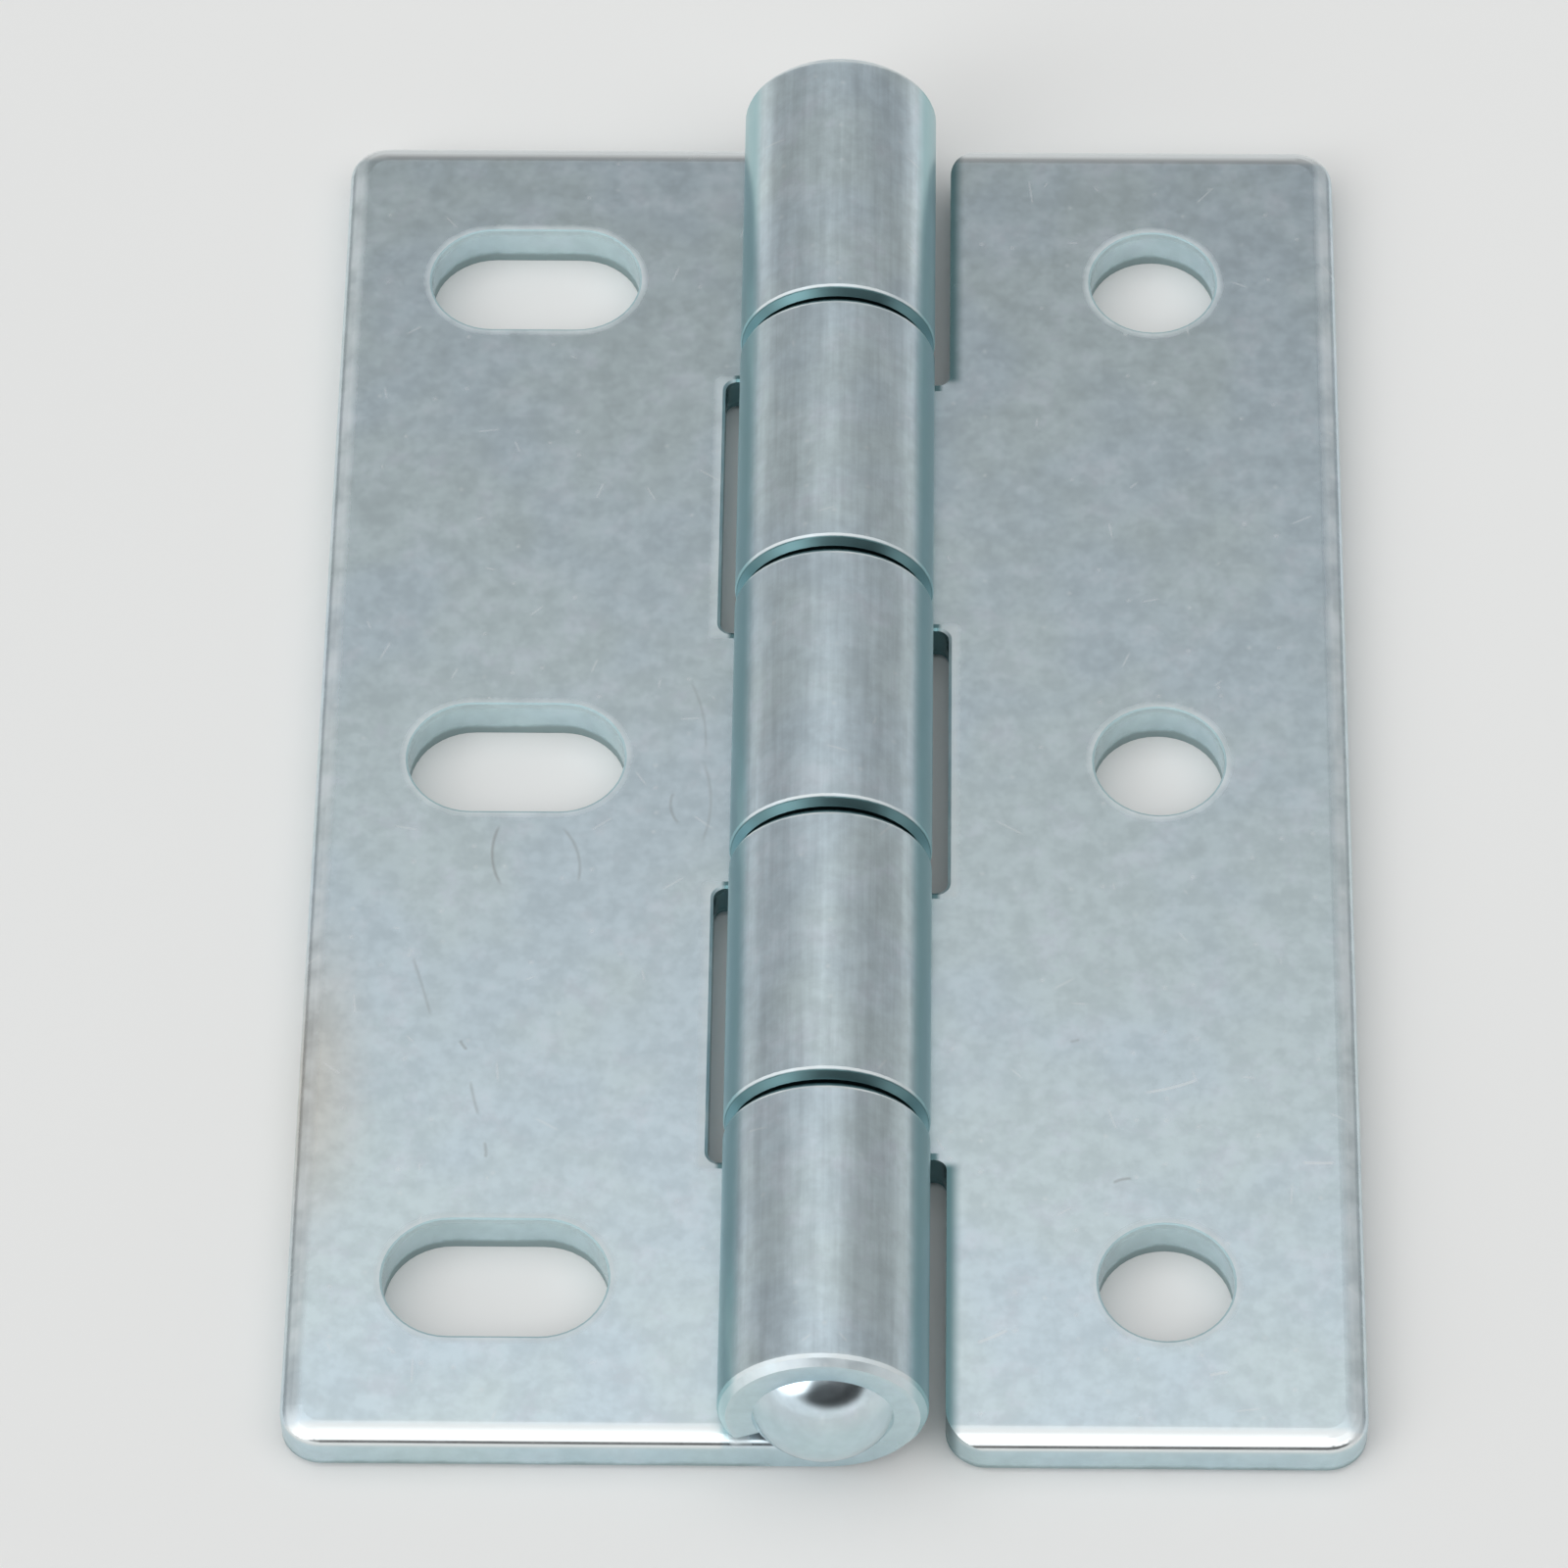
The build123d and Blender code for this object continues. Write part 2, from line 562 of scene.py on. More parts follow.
@dataclass(frozen=True)
class EdgeWear:
    """The edges that handling has rubbed pale: outer edges, knuckle ends, hole rims and notch edges.

    Each band is measured from the edge or face that its name gives, in millimetres, apart from the
    brow's tilts, which are parts of the normal, and the patches, which are parts of a noise.
    """

    colour: Colour = (0.86, 0.895, 0.90)
    top_depth: Band = (0.5, 0.2)
    rim_depth: Band = (0.7, 0.4)
    rim_inside: Band = (0.75, 0.45)
    rim_outside: Band = (0.3, 0.1)
    rim_share: float = 0.5
    side_depth: Band = (1.1, 0.6)
    side_brink: Band = (0.15, 0.4)
    side_share: float = 0.55
    hole_reach: Band = (0.5, 0.05)
    hole_share: float = 0.6
    notch_ends: Band = (0.6, 0.1)
    notch_reach: Band = (0.7, 0.2)
    notch_barrel: Band = (0.2, 0.4)
    notch_share: float = 0.6
    brow_start: Band = (0.15, 0.3)
    brow_stop: Band = (0.6, 0.5)
    brow_height: Band = (0.3, 0.8)
    patches: Band = (0.3, 0.65)
    patch_least: float = 0.45

    def draw(
        self, surface: Surface, form: HingeForm, beyond_hole: Socket | None, notch_span: Span | None
    ) -> Socket:
        """Adds the nodes of the wear.

        Args:
            surface: What the finish reads.
            form: The hinge's sizes.
            beyond_hole: The distance from the nearest hole, where the piece has holes.
            notch_span: Where the piece's notches start and end along the pin, where it has notches.

        Returns:
            How much of the rubbed zinc shows.
        """
        board, z = surface.board, surface.off[2]
        worn = board.strongest(self._rim(surface, form), self._side(surface, form))
        if beyond_hole is not None:
            worn = board.strongest(worn, board.fade(beyond_hole, self.hole_reach, 0.0, self.hole_share))
        if notch_span is not None:
            worn = board.strongest(worn, self._notch(surface, form, notch_span))
        brow = board.product(
            board.fade(surface.tilt[1], self.brow_start),
            board.fade(surface.tilt[1], self.brow_stop),
            board.fade(z, outward(form.leaf_top, self.brow_height)),
        )
        on_top = board.fade(z, inward(form.leaf_top, self.top_depth))
        patchy = board.fade(surface.cloud, self.patches, self.patch_least, 1.0)
        return board.product(board.strongest(worn, brow), on_top, patchy)

    def _rim(self, surface: Surface, form: HingeForm) -> Socket:
        """Finds the outer rims at both ends of the barrel.

        Args:
            surface: What the finish reads.
            form: The hinge's sizes.

        Returns:
            How much of the rubbed zinc shows there.
        """
        board = surface.board
        section = board.vector("MULTIPLY", surface.place, (1.0, 0.0, 1.0))
        from_axis = board.vector("DISTANCE", section, (0.0, 0.0, form.barrel_radius))
        return board.product(
            board.fade(surface.off[1], inward(form.leaf_end, self.rim_depth)),
            board.fade(from_axis, inward(form.barrel_radius, self.rim_inside)),
            board.fade(from_axis, outward(form.barrel_radius, self.rim_outside), 0.0, self.rim_share),
        )

    def _side(self, surface: Surface, form: HingeForm) -> Socket:
        """Finds the outer side of a leaf, short of its brink.

        Args:
            surface: What the finish reads.
            form: The hinge's sizes.

        Returns:
            How much of the rubbed zinc shows there.
        """
        board, x = surface.board, surface.off[0]
        return board.product(
            board.fade(x, inward(form.leaf_reach, self.side_depth), 0.0, self.side_share),
            board.fade(x, inward(form.leaf_reach, self.side_brink)),
        )

    def _notch(self, surface: Surface, form: HingeForm, span: Span) -> Socket:
        """Finds the edges of the notches, beside the barrel.

        Args:
            surface: What the finish reads.
            form: The hinge's sizes.
            span: Where the notches start and end along the pin.

        Returns:
            How much of the rubbed zinc shows there.
        """
        board = surface.board
        x, y, _ = surface.off
        start, end = span
        return board.product(
            board.fade(y, inward(start, self.notch_ends)),
            board.fade(y, outward(end, self.notch_ends)),
            board.fade(x, outward(form.notch_edge, self.notch_reach), 0.0, self.notch_share),
            board.fade(x, outward(form.barrel_radius, self.notch_barrel)),
        )


@dataclass(frozen=True)
class TornBandAndFootShade:
    """The dull lower band of punched faces, where the sheet tore away instead of being sheared.

    Its dark colour is also painted shade where the faces meet the table. Lengths are in millimetres,
    and plate is in shares of the barrel's radius.
    """

    # dark grey of the steel that tore away, also painted shade at the foot of cut faces
    colour: Colour = (0.35, 0.385, 0.385)
    height: float = 0.6
    softness: float = 0.2
    waver: float = 0.6
    plate: Band = (0.4, 0.8)

    def draw(self, surface: Surface, form: HingeForm) -> Socket:
        """Adds the nodes of the band.

        Args:
            surface: What the finish reads.
            form: The hinge's sizes.

        Returns:
            How much of the dark band shows: steel that tore away, and painted shade.
        """
        board = surface.board
        x, _, z = surface.off
        swing = board.math("SUBTRACT", surface.cloud, NOISE_MIDDLE)
        wavering = board.math("MULTIPLY_ADD", swing, self.waver, z)
        return board.product(
            board.fade(wavering, (self.height + self.softness, self.height - self.softness)),
            surface.upright,
            board.fade(x, shared(form.barrel_radius, self.plate)),
        )


@dataclass(frozen=True)
class EndBurnish:
    """The rolled-over upper edges at both ends of a leaf, rubbed bright by handling, in millimetres."""

    end_depth: Band = (1.3, 0.8)
    top_depth: Band = (0.7, 0.4)
    barrel_depth: Band = (0.4, 0.0)

    def draw(self, surface: Surface, form: HingeForm) -> Socket:
        """Adds the nodes of the edge.

        Args:
            surface: What the finish reads.
            form: The hinge's sizes.

        Returns:
            How bright the edge is rubbed.
        """
        board = surface.board
        x, y, z = surface.off
        return board.product(
            board.fade(y, inward(form.leaf_end, self.end_depth)),
            board.fade(z, inward(form.leaf_top, self.top_depth)),
            board.fade(x, inward(form.barrel_radius, self.barrel_depth)),
        )


@dataclass(frozen=True)
class HoleLip:
    """The dull sloping lips that punching leaves round the screw holes.

    level and steep are parts of the normal that point up, and reach is in millimetres.
    """

    level: Band = (0.99, 0.96)
    steep: Band = (0.4, 0.7)
    reach: Band = (0.3, 0.2)
    teal_share: float = 0.5

    def draw(self, surface: Surface, beyond_hole: Socket) -> Socket:
        """Adds the nodes of the lips.

        Args:
            surface: What the finish reads.
            beyond_hole: The distance from the nearest hole.

        Returns:
            How much of the dull lip shows.
        """
        board, up = surface.board, surface.facing[2]
        return board.product(
            board.fade(up, self.level), board.fade(up, self.steep), board.fade(beyond_hole, self.reach)
        )


@dataclass(frozen=True)
class TealAndPaintedShade:
    """Teal passivation on cut faces, and teal painted shade low on the barrel and deep in gaps and slits.

    Lengths are in millimetres, flank_side is in shares of the barrel's radius, and flank_tilt is the
    part of the normal along the pin.
    """

    # teal of the cut faces and hole lips, also painted as shade low on the barrel's flanks
    recess_teal: Colour = (0.37, 0.59, 0.62)
    # dark teal painted shade in the knuckle gaps and on the slit walls, also the painted reflection by the
    # end notches
    dark_teal_shade: Colour = (0.15, 0.27, 0.29)
    flank_side: Band = (0.78, 0.9)
    flank_height: Band = (0.0, 0.3)
    flank_tilt: Band = (0.9, 0.6)
    flank_share: float = 0.9
    cut_share: float = 0.3
    gap_half_width: Band = (0.52, 0.44)
    gap_side: Band = (0.5, 0.2)
    slit_side: Band = (0.3, 0.1)
    slit_depth: Band = (0.0, 0.15)
    slit_end: Band = (0.7, 1.1)
    open_side: Band = (0.8, 0.1)
    open_start: Band = (-0.2, 0.3)

    def lay(self, surface: Surface, form: HingeForm, open_from: float | None, colour: Socket) -> Socket:
        """Lays the teal and the painted shade over a colour.

        Args:
            surface: What the finish reads.
            form: The hinge's sizes.
            open_from: Where the notches at the ends of a leaf start along the pin, where it has them.
            colour: The colour underneath.

        Returns:
            The colour with the teal over it.
        """
        board = surface.board
        x, y, _ = surface.off
        # painted shade: dark teal in the knuckle gaps and on the slit walls
        deep = board.strongest(self._gap_shade(surface, form), self._slit_shade(surface, form))
        if open_from is not None:
            # painted reflection of the dark barrel on the leaf's inner edge beside the end notches
            end_notch_reflection = board.product(
                board.fade(x, outward(form.notch_edge, self.open_side)),
                board.fade(y, outward(open_from, self.open_start)),
            )
            deep = board.strongest(deep, end_notch_reflection)
        teal_and_flank_shade = board.mix(self._flank_shade_and_cut_teal(surface, form), colour, self.recess_teal)
        return board.mix(deep, teal_and_flank_shade, self.dark_teal_shade)

    def _flank_shade_and_cut_teal(self, surface: Surface, form: HingeForm) -> Socket:
        """Finds the flanks of the barrel, where teal shade is painted, and the cut faces.

        Args:
            surface: What the finish reads.
            form: The hinge's sizes.

        Returns:
            How much of the lighter teal shows, painted shade on the flanks and own colour on cut faces.
        """
        board = surface.board
        x, _, z = surface.off
        # painted shade in teal, low on the barrel's flanks beside the leaf
        flank_shade = board.product(
            board.fade(x, shared(form.barrel_radius, self.flank_side), 0.0, self.flank_share),
            board.fade(z, outward(form.leaf_top, self.flank_height)),
            board.fade(surface.tilt[1], self.flank_tilt),
        )
        return board.strongest(flank_shade, board.product(surface.upright, self.cut_share))

    def _gap_shade(self, surface: Surface, form: HingeForm) -> Socket:
        """Finds the gaps between knuckles, where dark shade is painted.

        Args:
            surface: What the finish reads.
            form: The hinge's sizes.

        Returns:
            How much of the dark painted shade shows.
        """
        board = surface.board
        x, y, _ = surface.off
        off_pitch = board.size(board.math("SUBTRACT", y, form.knuckle_pitch))
        off_gap = board.size(board.math("SUBTRACT", off_pitch, form.knuckle_pitch / 2))
        return board.product(
            board.fade(off_gap, self.gap_half_width),
            board.fade(x, outward(form.barrel_radius, self.gap_side)),
        )

    def _slit_shade(self, surface: Surface, form: HingeForm) -> Socket:
        """Finds the upright walls of the slits beside the barrel, where dark shade is painted.

        Args:
            surface: What the finish reads.
            form: The hinge's sizes.

        Returns:
            How much of the dark painted shade shows.
        """
        board = surface.board
        x, y, z = surface.off
        return board.product(
            surface.upright,
            board.fade(x, outward(form.notch_edge, self.slit_side)),
            board.fade(z, inward(form.leaf_top, self.slit_depth)),
            board.fade(y, inward(form.leaf_end, self.slit_end)),
        )


@dataclass(frozen=True)
class ZincFinish:
    """Bright zinc plating with a thin blue passivation, on pressed or formed steel, in millimetres."""

    name: str
    form: HingeForm = HingeForm()
    plating: OpenPlating = OpenPlating()
    wear: EdgeWear = EdgeWear()
    torn_and_foot_shade: TornBandAndFootShade = TornBandAndFootShade()
    burnish: EndBurnish = EndBurnish()
    lip: HoleLip = HoleLip()
    teal_and_shade: TealAndPaintedShade = TealAndPaintedShade()
    scratch_pale: Colour = (0.93, 0.955, 0.965)
    mark_dark: Colour = (0.36, 0.37, 0.36)
    scuff_level: Band = (0.3, 0.6)
    roughness: float = 0.24
    roughness_spread: float = 0.02
    roughness_noise: Band = (0.3, 0.7)
    scuff_roughness: float = 0.15
    worn_roughness: float = 0.5
    torn_dullness: float = 0.6
    barrel_roughness: float = 0.08
    barrel_rise: Band = (0.0, 0.5)
    sway_scale: float = 0.22
    sway_depth: float = 0.004
    notch_span: Span | None = None
    open_from: float | None = None
    holes: HoleRow | None = None
    marks: tuple[HairMark, ...] = ()
    stain: WarmStain | None = None
    scratches: tuple[ScratchField | SpeckField, ...] = (SpeckField(),)

    def build(self) -> bpy.types.Material:
        """Makes the material.

        Returns:
            The material, ready to go in a slot.
        """
        material = bpy.data.materials.new(self.name)
        material.use_nodes = True
        board = NodeBoard(material.node_tree)
        surface = Surface.read(board)
        beyond_hole = self.holes.beyond(surface) if self.holes is not None else None
        pale = [mark for mark in self.marks if mark.tone is MarkTone.LIGHT]
        scuffs = board.product(
            self._gather(surface, [*self.scratches, *pale]), board.fade(surface.facing[2], self.scuff_level)
        )
        wear = self.wear.draw(surface, self.form, beyond_hole, self.notch_span)
        torn_and_foot_shade = self.torn_and_foot_shade.draw(surface, self.form)
        dull = board.strongest(wear, board.product(torn_and_foot_shade, self.torn_dullness))
        burnish = self.burnish.draw(surface, self.form)
        colour = board.mix(board.strongest(wear, burnish), self._colour(surface, scuffs), self.wear.colour)
        if beyond_hole is not None:
            lip = self.lip.draw(surface, beyond_hole)
            dull = board.strongest(dull, lip)
            lip_teal = board.product(lip, self.lip.teal_share)
            colour = board.mix(lip_teal, colour, self.teal_and_shade.recess_teal)
        # lays the dark band: steel that tore away, and painted shade at the foot of cut faces
        colour = board.mix(torn_and_foot_shade, colour, self.torn_and_foot_shade.colour)
        # lays the teal, the painted shade, and the painted reflection by the end notches
        colour = self.teal_and_shade.lay(surface, self.form, self.open_from, colour)
        sway = board.noise(surface.place, scale=self.sway_scale)
        shader = board.add("BsdfPrincipled")
        shader.inputs["Metallic"].default_value = 1.0
        board.feed(shader.inputs["Base Color"], colour)
        board.feed(shader.inputs["Roughness"], self._roughness(surface, scuffs, dull))
        board.feed(shader.inputs["Normal"], board.bump(sway, self.sway_depth * MM))
        board.feed(board.add("OutputMaterial").inputs["Surface"], shader.outputs[0])
        return material

    @staticmethod
    def _gather(surface: Surface, flaws: list[HairMark | ScratchField | SpeckField]) -> Socket:
        """Draws several flaws as one layer, as strong as the strongest of them."""
        return surface.board.strongest(*(flaw.draw(surface.board, surface.plan) for flaw in flaws))

    def _colour(self, surface: Surface, scuffs: Socket) -> Socket:
        """Builds the colour of the open plating, with its scratches and dark marks.

        Args:
            surface: What the finish reads.
            scuffs: How strongly a scratch shows.

        Returns:
            The colour.
        """
        board = surface.board
        colour = self.plating.draw(surface, self.form, self.stain)
        colour = board.mix(scuffs, colour, self.scratch_pale)
        dark = [mark for mark in self.marks if mark.tone is MarkTone.DARK]
        if dark:
            colour = board.mix(self._gather(surface, dark), colour, self.mark_dark)
        return colour

    def _roughness(self, surface: Surface, scuffs: Socket, dull: Socket) -> Socket:
        """Builds the roughness, which drifts, and rises on the barrel, in scratches and where it is dull.

        Args:
            surface: What the finish reads.
            scuffs: How strongly a scratch shows.
            How worn the surface is, or dull in the dark band low on cut faces.

        Returns:
            The roughness.
        """
        board = surface.board
        low, high = self.roughness - self.roughness_spread, self.roughness + self.roughness_spread
        rough = board.fade(surface.cloud, self.roughness_noise, low, high)
        rough = board.math("MULTIPLY_ADD", scuffs, self.scuff_roughness, rough)
        rough = board.math("MULTIPLY_ADD", dull, self.worn_roughness, rough)
        if self.barrel_roughness:
            rise = outward(self.form.leaf_top, self.barrel_rise)
            rough = board.math("ADD", rough, board.fade(surface.off[2], rise, 0.0, self.barrel_roughness))
        return rough


@dataclass(frozen=True)
class TableFinish:
    """The pale matt table that the hinge lies on."""

    name: str = "pale_table"
    light: Colour = (0.880, 0.873, 0.861)
    shade: Colour = (0.861, 0.854, 0.843)
    drift_scale: float = 9.0
    drift_band: Band = (0.3, 0.7)

    def build(self) -> bpy.types.Material:
        """Makes the material.

        Returns:
            The material.
        """
        material = bpy.data.materials.new(self.name)
        material.use_nodes = True
        board = NodeBoard(material.node_tree)
        place = board.add("TexCoord").outputs["Object"]
        shader = board.add("BsdfDiffuse")
        drift = board.fade(board.noise(place, scale=self.drift_scale, detail=1.0), self.drift_band)
        board.feed(shader.inputs["Color"], board.mix(drift, self.light, self.shade))
        board.feed(board.add("OutputMaterial").inputs["Surface"], shader.outputs[0])
        return material


@dataclass
class HingePiece:
    """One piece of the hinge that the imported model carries, and the finish that it is dressed in."""

    node: str
    finish: ZincFinish

    def dress(self) -> bpy.types.Object:
        """Puts the finish in every material slot of the piece.

        Returns:
            The piece.
        """
        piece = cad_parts[self.node]
        material = self.finish.build()
        for slot in piece.material_slots:
            slot.material = material
        low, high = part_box(self.node)
        size = " x ".join(f"{side / MM:.1f}" for side in high - low)
        LOG.info("%s: %s mm, dressed in %s", self.node, size, self.finish.name)
        return piece


@dataclass
class SlottedLeaf(HingePiece):
    """The left leaf, with slots across it and the end and middle knuckles."""

    node: str = "slotted_leaf"
    finish: ZincFinish = ZincFinish(
        name="slotted_leaf_zinc",
        notch_span=(8.0, 24.0),
        holes=HoleRow(centre=-16.0, straight=4.4),
        stain=WarmStain(centre=(-25.6, -20.0), radius=4.0),
        marks=(
            HairMark((-16.5, -3.8), (-17.0, -6.0), (-16.5, -7.8)),
            HairMark((-13.3, -4.6), (-12.7, -5.9), (-12.9, -8.4), strength=0.35),
            HairMark((-7.9, -1.9), (-8.1, -3.1), (-7.7, -4.0), strength=0.35),
            HairMark((-7.1, 4.4), (-6.6, 2.7), (-6.5, -0.3), strength=0.25),
            HairMark((-6.5, -0.3), (-6.1, -2.7), (-6.8, -5.9), strength=0.25),
            HairMark((-20.8, -12.0), (-20.2, -13.9), (-19.7, -15.7), strength=0.3),
            HairMark((-18.2, -17.1), (-18.05, -17.4), (-17.8, -17.7)),
            HairMark((-17.6, -19.5), (-17.4, -20.5), (-17.1, -21.6), strength=0.35),
            HairMark((-16.8, -23.0), (-16.7, -23.5), (-16.7, -24.0), strength=0.4),
        ),
        scratches=(
            ScratchField(spacing=3.6, length=1.6, width=0.1, share=0.35, strength=0.3),
            SpeckField(),
        ),
    )


@dataclass
class RoundHoleLeaf(HingePiece):
    """The right leaf, with round holes and the knuckles between."""

    node: str = "round_hole_leaf"
    finish: ZincFinish = ZincFinish(
        name="round_hole_leaf_zinc",
        notch_span=(0.0, 8.0),
        open_from=24.1,
        holes=HoleRow(centre=16.5),
        marks=(
            HairMark((13.9, -25.2), (14.4, -24.95), (14.9, -24.9)),
            HairMark((11.9, -16.95), (12.15, -16.9), (12.4, -16.8), strength=0.35),
            HairMark((15.6, -19.9), (16.9, -19.6), (18.4, -19.0), tone=MarkTone.LIGHT),
            HairMark((23.2, -23.9), (24.0, -23.92), (24.9, -23.9), tone=MarkTone.LIGHT),
            HairMark((7.3, -34.3), (8.1, -33.95), (8.9, -33.5), tone=MarkTone.LIGHT),
            HairMark((18.5, -36.0), (18.95, -35.9), (19.5, -35.8), tone=MarkTone.LIGHT),
        ),
        scratches=(
            ScratchField(spacing=4.1, length=1.8, width=0.1, share=0.4, strength=0.3),
            SpeckField(),
        ),
    )


@dataclass
class HingePin(HingePiece):
    """The pin, whose domed heads show at both ends of the barrel."""

    node: str = "hinge_pin"
    finish: ZincFinish = ZincFinish(
        name="hinge_pin_zinc",
        roughness=0.16,
        barrel_roughness=0.0,
        sway_depth=0.006,
    )


@dataclass
class StudioTable:
    """The table top under the hinge, in metres."""

    side: float = 6.0
    clearance: float = 0.00002
    finish: TableFinish = TableFinish()

    def build(self) -> bpy.types.Object:
        """Lays the table top just under the hinge's mounting plane.

        Returns:
            The table top.
        """
        bpy.ops.object.select_all(action="DESELECT")
        bpy.ops.mesh.primitive_plane_add(size=self.side, location=(0.0, 0.0, -self.clearance))
        table = bpy.context.active_object
        table.name = "studio_table"
        table.data.materials.append(self.finish.build())
        table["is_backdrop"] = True
        LOG.info("studio_table: %.1f m square", self.side)
        return table


@dataclass(frozen=True)
class SkyPatch:
    """A round or drawn-out patch of sky with a soft edge.

    level is its strength, or the share of light that it leaves. edges are the degrees from its middle
    at which it starts and is full, and stretch is how many times as long it is along one line.
    """

    effect: PatchEffect
    level: float
    toward: Direction
    edges: Band
    along: Direction | None = None
    stretch: float = 1.0

    def lay(self, board: NodeBoard, direction: Socket, light: Socket) -> Socket:
        """Lays the patch over the light in a direction.

        Args:
            board: The world's nodes.
            direction: The direction looked in.
            light: The strength of the light there.

        Returns:
            The strength with the patch.
        """
        if self.along is not None:
            direction = self._squeeze(board, direction)
        near = board.vector("DOT_PRODUCT", direction, tuple(Vector(self.toward).normalized()))
        outer, inner = (math.cos(math.radians(edge)) for edge in self.edges)
        if self.effect is PatchEffect.ADDS:
            return board.math("ADD", light, board.fade(near, (outer, inner), 0.0, self.level))
        return board.math("MULTIPLY", light, board.fade(near, (outer, inner), 1.0, self.level))

    def _squeeze(self, board: NodeBoard, direction: Socket) -> Socket:
        """Squeezes directions together along the patch's line, so that the patch is drawn out along it.

        Args:
            board: The world's nodes.
            direction: The direction looked in.

        Returns:
            The squeezed direction.
        """
        line = tuple(Vector(self.along).normalized())
        excess = board.math("MULTIPLY", board.vector("DOT_PRODUCT", direction, line), 1 / self.stretch - 1)
        shift = board.vector("SCALE", line, excess)
        return board.vector("NORMALIZE", board.vector("ADD", direction, shift))


@dataclass
class StudioSky:
    """The soft light round the table: a lamp in a broad ceiling, plain walls, and a dim side at the camera.

    The edges of the ceiling, the crown and the lamp are in degrees from the overhead direction. The
    patches are laid over one another in the order that they are given.
    """

    name: str = "studio_sky"
    tint: Colour = (0.985, 1.0, 1.005)
    walls: float = 0.39
    ceiling: float = 0.82
    ceiling_edges: Band = (51.1, 45.9)
    crown: float = 0.4
    crown_edge: float = 25.0
    lamp: float = 0.8
    lamp_edges: Band = (13.2, 10.1)
    overhead: Direction = (-0.08, -0.275, 1.0)
    back: SkyPatch = SkyPatch(PatchEffect.ADDS, 0.29, toward=(0.0, 1.0, 0.13), edges=(30.0, 5.0))
    front: SkyPatch = SkyPatch(PatchEffect.ADDS, 0.5, toward=(-0.2, -0.95, 0.2), edges=(100.0, 55.0))
    dim_side: SkyPatch = SkyPatch(
        PatchEffect.DIMS,
        0.05,
        toward=(0.12, -0.85, 0.52),
        edges=(23.0, 12.0),
        along=(1.0, 0.0, 0.0),
        stretch=3.0,
    )
    cornice: SkyPatch = SkyPatch(PatchEffect.DIMS, 0.73, toward=(0.0, 0.788, 0.616), edges=(24.0, 8.0))
    window: SkyPatch = SkyPatch(
        PatchEffect.ADDS,
        1.8,
        toward=(-0.635, -0.590, 0.499),
        edges=(11.0, 6.0),
        along=(0.743, -0.290, 0.603),
        stretch=3.0,
    )

    def build(self) -> bpy.types.World:
        """Makes the world and sets it on the scene.

        Returns:
            The world.
        """
        world = bpy.data.worlds.new(self.name)
        world.use_nodes = True
        board = NodeBoard(world.node_tree)
        direction = board.add("TexCoord").outputs["Generated"]
        light = self._overhead(board, direction)
        for patch in (self.back, self.front, self.dim_side, self.cornice, self.window):
            light = patch.lay(board, direction, light)
        background = board.add("Background")
        board.feed(background.inputs["Strength"], light)
        background.inputs["Color"].default_value = (*self.tint, 1.0)
        board.feed(board.add("OutputWorld").inputs["Surface"], background.outputs[0])
        bpy.context.scene.world = world
        LOG.info("%s: walls %.2f, ceiling %.2f, lamp %.1f", self.name, self.walls, self.ceiling, self.lamp)
        return world

    def _overhead(self, board: NodeBoard, direction: Socket) -> Socket:
        """Adds the walls, and the ceiling and lamp about one direction.

        Args:
            board: The world's nodes.
            direction: The direction looked in.

        Returns:
            Their strength in that direction.
        """
        ramp = board.add("ValToRGB")
        near = board.vector("DOT_PRODUCT", direction, tuple(Vector(self.overhead).normalized()))
        board.feed(ramp.inputs[0], near)
        lit, crown = self.walls + self.ceiling, self.walls + self.crown
        levels = (self.walls, lit, crown, crown, crown + self.lamp)
        edges = (*self.ceiling_edges, self.crown_edge, *self.lamp_edges)
        stops = ramp.color_ramp.elements
        for _ in range(len(levels) - len(stops)):
            stops.new(0.5)
        for stop, degrees, level in zip(stops, edges, levels):
            stop.position = math.cos(math.radians(degrees))
            stop.color = (level, level, level, 1.0)
        return ramp.outputs[0]


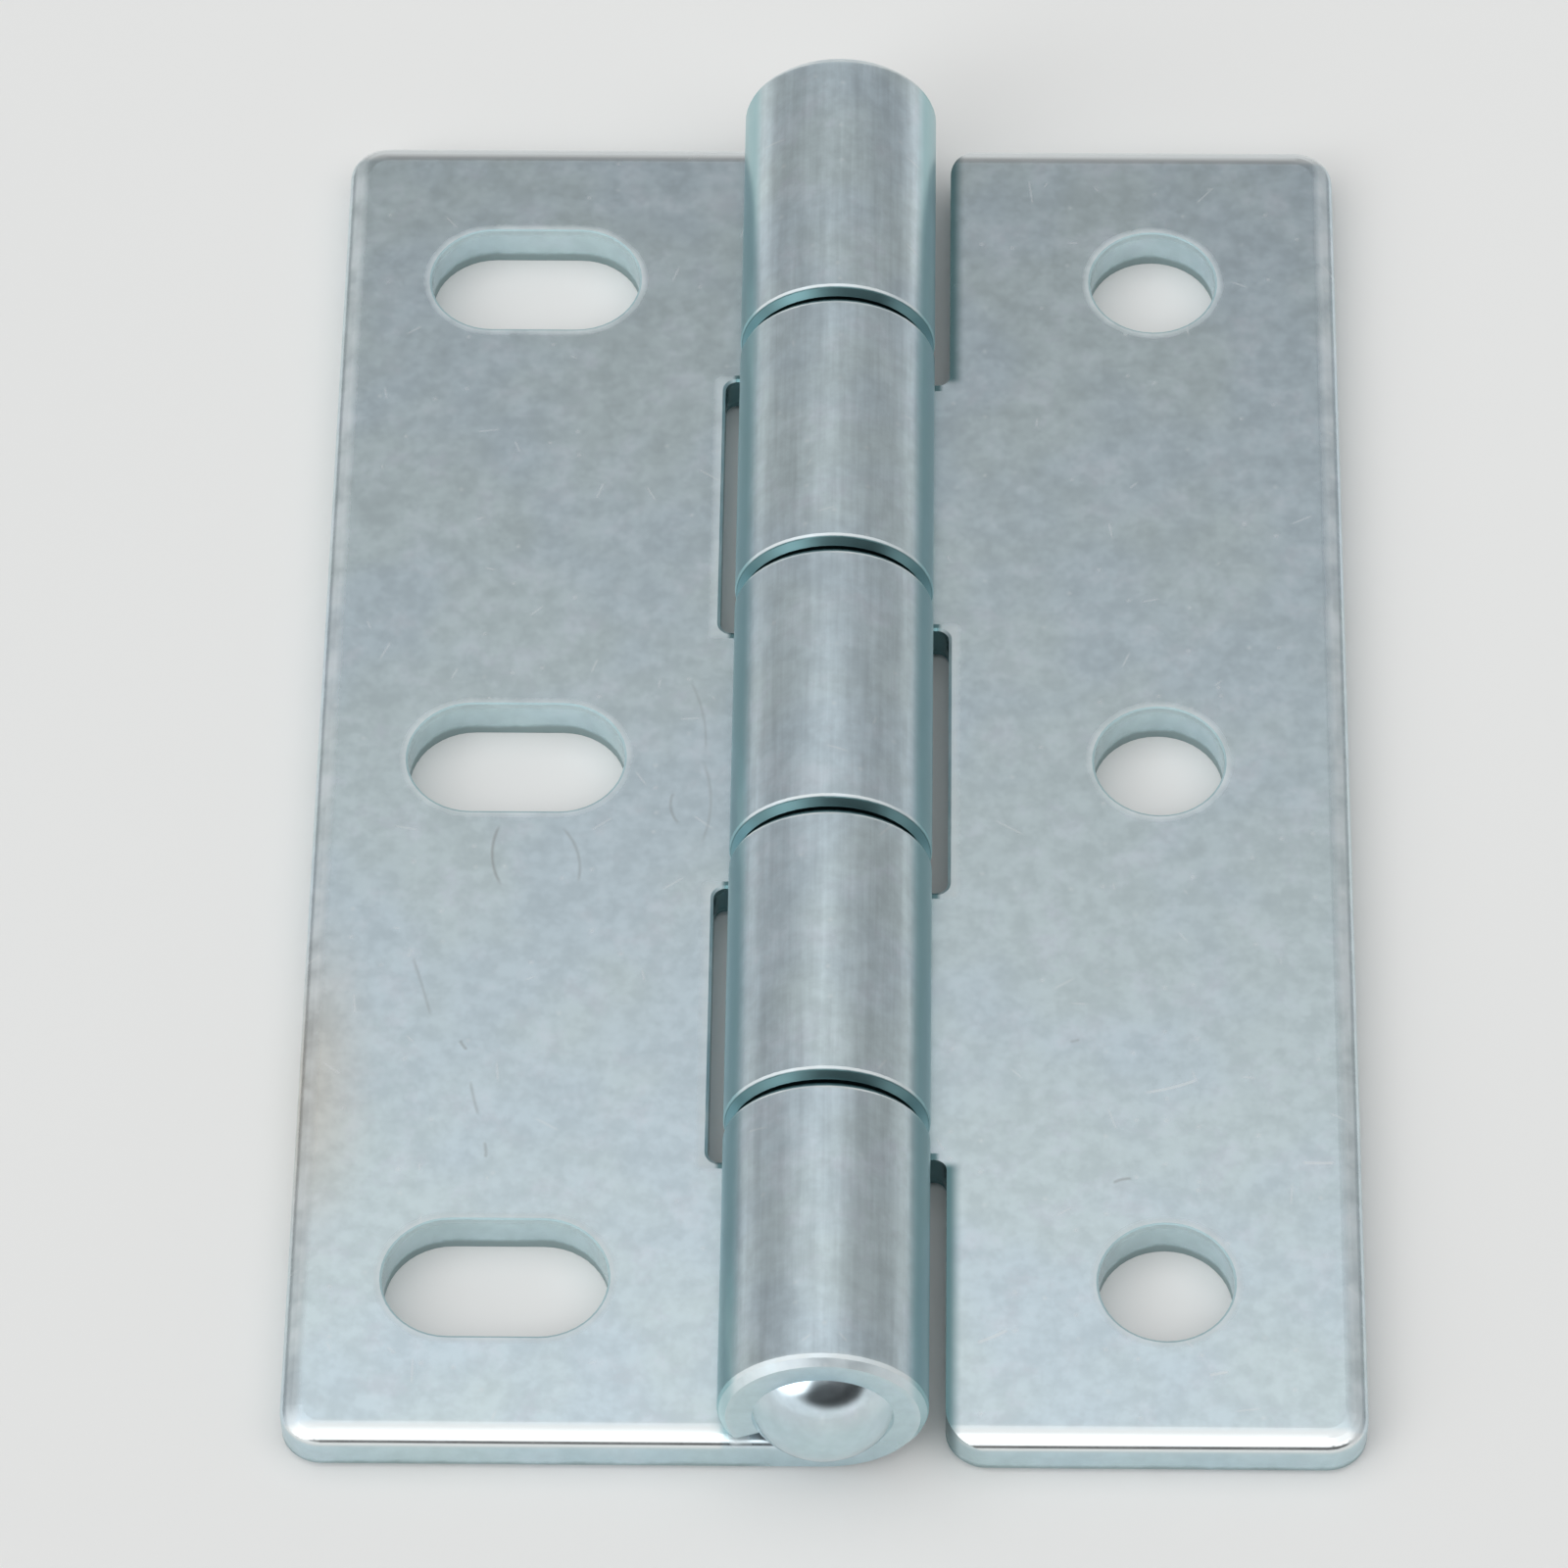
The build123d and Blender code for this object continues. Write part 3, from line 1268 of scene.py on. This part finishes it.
@dataclass
class PhotoCamera:
    """The camera where the photograph was taken from. Lengths are in millimetres and angles in degrees."""

    name: str = "photo_camera"
    target: tuple[float, float, float] = (-2.486, 0.203, 0.0)
    distance: float = 416.16
    elevation: float = 55.0224
    azimuth: float = 1.6961
    roll: float = -1.0321
    lens: float = 188.07
    sensor: float = 36.0
    clip_metres: Span = (0.01, 50.0)

    def build(self) -> bpy.types.Object:
        """Makes the camera and sets it on the scene.

        Returns:
            The camera.
        """
        azimuth, elevation, roll = (math.radians(a) for a in (self.azimuth, self.elevation, self.roll))
        back = Vector(
            (
                math.sin(azimuth) * math.cos(elevation),
                -math.cos(azimuth) * math.cos(elevation),
                math.sin(elevation),
            )
        )
        data = bpy.data.cameras.new(self.name)
        data.lens, data.sensor_width = self.lens, self.sensor
        data.clip_start, data.clip_end = self.clip_metres
        camera = bpy.data.objects.new(self.name, data)
        bpy.context.scene.collection.objects.link(camera)
        turn = (-back).to_track_quat("-Z", "Y").to_matrix().to_4x4() @ Matrix.Rotation(roll, 4, "Z")
        camera.matrix_world = Matrix.Translation((Vector(self.target) + back * self.distance) * MM) @ turn
        bpy.context.scene.camera = camera
        LOG.info("%s: %.0f mm lens, %.0f mm away", self.name, self.lens, self.distance)
        return camera


@dataclass
class SizeNote:
    """The CAD box and the dressed hinge's box, kept together."""

    boxes: dict[str, list[list[float]]] = field(default_factory=dict)

    def add(self, name: str, box: tuple[Vector, Vector]) -> None:
        """Keeps one box.

        Args:
            name: What the box is of.
            box: Its lowest and highest corners, in metres.
        """
        self.boxes[name] = [list(corner) for corner in box]

    def write(self) -> None:
        """Does nothing: the boxes are not written anywhere."""


def main() -> None:
    """Dresses the hinge piece by piece, then sets the table, the light and the camera."""
    logging.basicConfig(level=logging.INFO, format="%(name)s: %(message)s")
    bpy.context.scene.view_settings.view_transform = "Standard"
    for piece in (SlottedLeaf(), RoundHoleLeaf(), HingePin()):
        piece.dress()
    StudioTable().build()
    StudioSky().build()
    PhotoCamera().build()
    note = SizeNote()
    note.add("cad", CAD_BOX)
    note.add("visual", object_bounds())
    note.write()


if __name__ == "__main__":
    main()
